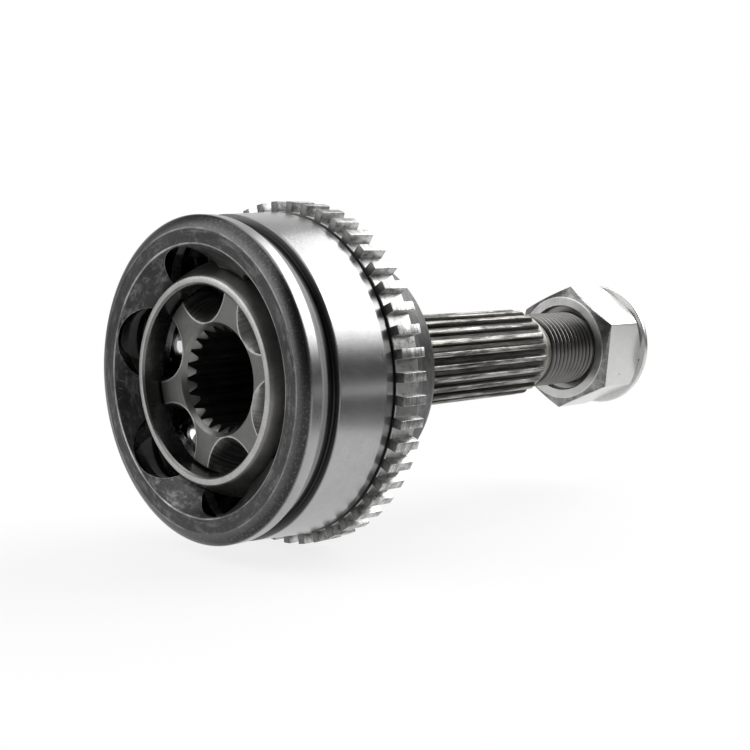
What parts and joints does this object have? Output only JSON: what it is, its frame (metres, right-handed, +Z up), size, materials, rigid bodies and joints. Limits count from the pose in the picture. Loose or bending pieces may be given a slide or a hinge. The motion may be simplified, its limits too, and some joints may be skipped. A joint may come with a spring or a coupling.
{
  "type": "outer cv joint",
  "caption": "Ball-type outer constant-velocity joint with a splined, threaded stub shaft, a toothed signal ring and a hexagonal hub nut.",
  "frame": {"origin": "centre of the joint, where the plane of the balls crosses the axis", "axes": "+X along the joint's axis from the open mouth to the threaded end of the stub, +Z up, +Y to the side"},
  "size_m": [0.1779, 0.094, 0.094],
  "materials": {
    "forged_steel": "satin",
    "signal_ring_steel": "satin",
    "cage_steel": "satin",
    "race_steel": "satin",
    "ball_steel": "polished",
    "nut_steel": "bright"
  },
  "bodies": {
    "bell": {"outer_race": "forged_steel", "abs_ring": "signal_ring_steel"},
    "upper_ball": {"ball_2": "ball_steel"},
    "ball_cage": {"cage": "cage_steel", "ball_1": "ball_steel", "ball_3": "ball_steel", "ball_4": "ball_steel", "ball_6": "ball_steel"},
    "lower_ball": {"ball_5": "ball_steel"},
    "inner_race": {"inner_race": "race_steel"},
    "hub_nut": {"hub_nut": "nut_steel"}
  },
  "joints": [
    {"name": "upper_ball_tilt", "type": "hinge", "parent": "bell", "child": "upper_ball", "pos_m": [0, 0, 0], "axis": [0, 0.9744, -0.225], "range_deg": [-5, 5]},
    {"name": "cage_steer", "type": "hinge", "parent": "upper_ball", "child": "ball_cage", "pos_m": [0, 0, 0], "axis": [0, 0.225, 0.9744], "range_deg": [-19, 19]},
    {"name": "lower_ball_steer", "type": "hinge", "parent": "ball_cage", "child": "lower_ball", "pos_m": [0, 0, 0], "axis": [0, 0.225, 0.9744], "range_deg": [-19, 19]},
    {"name": "inner_race_tilt", "type": "hinge", "parent": "lower_ball", "child": "inner_race", "pos_m": [0, 0, 0], "axis": [0, 0.9744, -0.225], "range_deg": [-5, 5]},
    {"name": "hub_nut_turn", "type": "hinge", "parent": "bell", "child": "hub_nut", "pos_m": [0.145, 0, 0], "axis": [1, 0, 0], "range_deg": [-180, 180]}
  ],
  "couplings": [
    {"joint": "lower_ball_steer", "follows": "cage_steer", "ratio": 1},
    {"joint": "inner_race_tilt", "follows": "upper_ball_tilt", "ratio": 1}
  ]
}
